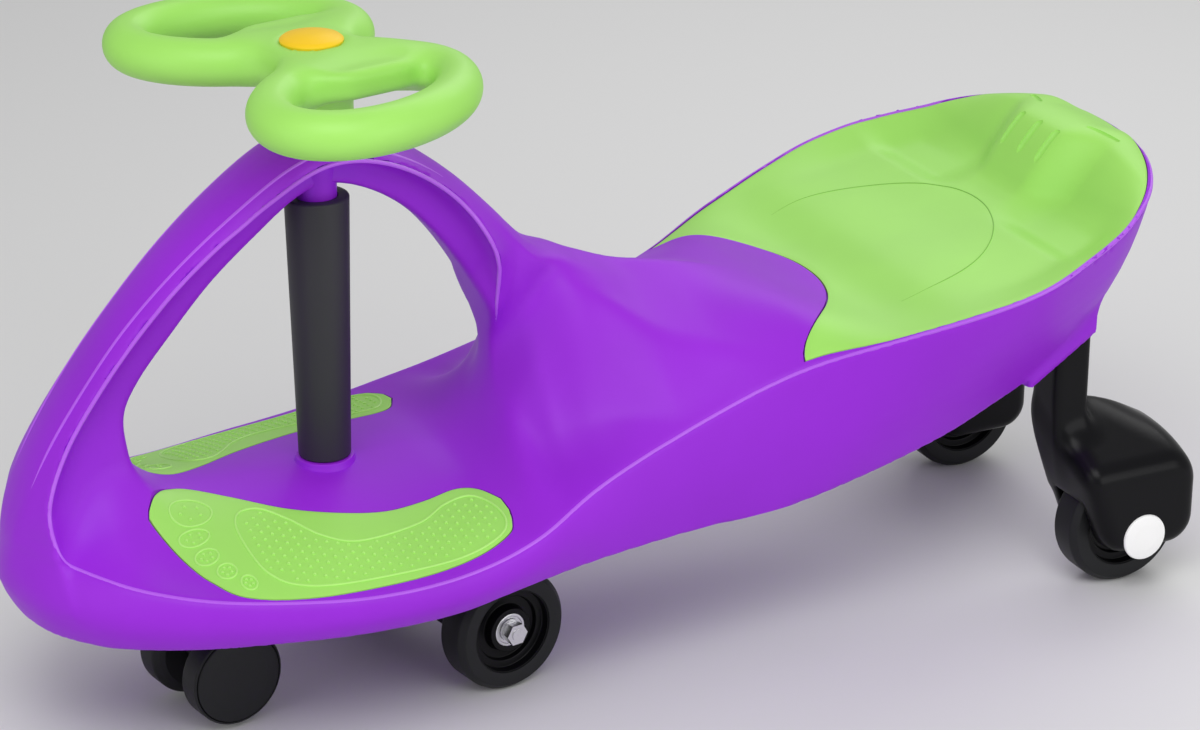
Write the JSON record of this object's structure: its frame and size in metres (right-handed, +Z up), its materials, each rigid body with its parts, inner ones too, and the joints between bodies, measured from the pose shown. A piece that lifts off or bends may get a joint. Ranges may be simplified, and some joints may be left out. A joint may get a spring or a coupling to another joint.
{
  "type": "wiggle car",
  "caption": "Child's ride-on wiggle car: hollow moulded body with arch and dished seat, column and two-loop steering wheel, steered front carriage with caster, hooded rear wheels.",
  "frame": {"origin": "on the floor below the middle of the overall box", "axes": "+X forward to the nose, +Y to the rider's left, +Z up"},
  "size_m": [0.778, 0.314, 0.423],
  "materials": {
    "purple_plastic": "smooth moulded",
    "green_plastic": "smooth moulded",
    "yellow_plastic": "smooth moulded",
    "white_plastic": "smooth moulded",
    "column_plastic": "fine grain",
    "black_plastic": "satin moulded",
    "tyre_rubber": "satin cast",
    "steel": "bright zinc"
  },
  "bodies": {
    "chassis": {"body_shell": "purple_plastic", "seat_panel": "green_plastic", "left_foot_pad": "green_plastic", "right_foot_pad": "green_plastic", "column_tube": "column_plastic", "upper_bush": "white_plastic", "lower_bush": "white_plastic", "seat_screws": "steel", "pad_screws": "steel", "left_rear_bracket": "black_plastic", "right_rear_bracket": "black_plastic", "bracket_screws": "steel", "left_rear_axle": "steel", "right_rear_axle": "steel", "left_axle_cap": "white_plastic", "right_axle_cap": "white_plastic"},
    "steering": {"steering_wheel": "green_plastic", "wheel_cap": "yellow_plastic", "steering_bolt": "steel", "steering_washer": "steel", "steering_shaft": "steel", "thrust_washer": "black_plastic", "carriage": "black_plastic", "main_axle": "steel", "main_spacers": "steel", "main_washers": "steel", "main_nuts": "steel"},
    "left_main_wheel": {"left_main_core": "black_plastic", "left_main_tyre": "tyre_rubber", "left_main_bearings": "steel"},
    "right_main_wheel": {"right_main_core": "black_plastic", "right_main_tyre": "tyre_rubber", "right_main_bearings": "steel"},
    "left_rear_wheel": {"left_rear_core": "black_plastic", "left_rear_tyre": "tyre_rubber", "left_rear_bearings": "steel"},
    "right_rear_wheel": {"right_rear_core": "black_plastic", "right_rear_tyre": "tyre_rubber", "right_rear_bearings": "steel"},
    "caster": {"caster_stem": "steel", "caster_yoke": "black_plastic", "caster_axle": "steel"},
    "caster_wheel_left": {"left_caster_wheel": "tyre_rubber", "left_caster_disc": "black_plastic"},
    "caster_wheel_right": {"right_caster_wheel": "tyre_rubber", "right_caster_disc": "black_plastic"}
  },
  "joints": [
    {"name": "steering_turn", "type": "hinge", "parent": "chassis", "child": "steering", "pos_m": [0.178, 0, 0.2], "axis": [0, 0, 1], "continuous": true},
    {"name": "left_main_spin", "type": "hinge", "parent": "steering", "child": "left_main_wheel", "pos_m": [0.08674, 0.0626, 0.04], "axis": [-0.1736, 0.9848, 0], "continuous": true},
    {"name": "right_main_spin", "type": "hinge", "parent": "steering", "child": "right_main_wheel", "pos_m": [0.11366, -0.09004, 0.04], "axis": [-0.1736, 0.9848, 0], "continuous": true},
    {"name": "left_rear_spin", "type": "hinge", "parent": "chassis", "child": "left_rear_wheel", "pos_m": [-0.347, 0.1025, 0.042], "axis": [0, 1, 0], "continuous": true},
    {"name": "right_rear_spin", "type": "hinge", "parent": "chassis", "child": "right_rear_wheel", "pos_m": [-0.347, -0.1025, 0.042], "axis": [0, 1, 0], "continuous": true},
    {"name": "caster_swivel", "type": "hinge", "parent": "steering", "child": "caster", "pos_m": [0.27648, 0.01736, 0.08], "axis": [0, 0, 1], "continuous": true},
    {"name": "left_caster_spin", "type": "hinge", "parent": "caster", "child": "caster_wheel_left", "pos_m": [0.26448, 0.04186, 0.035], "axis": [0, 1, 0], "continuous": true},
    {"name": "right_caster_spin", "type": "hinge", "parent": "caster", "child": "caster_wheel_right", "pos_m": [0.26448, -0.00713, 0.035], "axis": [0, 1, 0], "continuous": true}
  ]
}
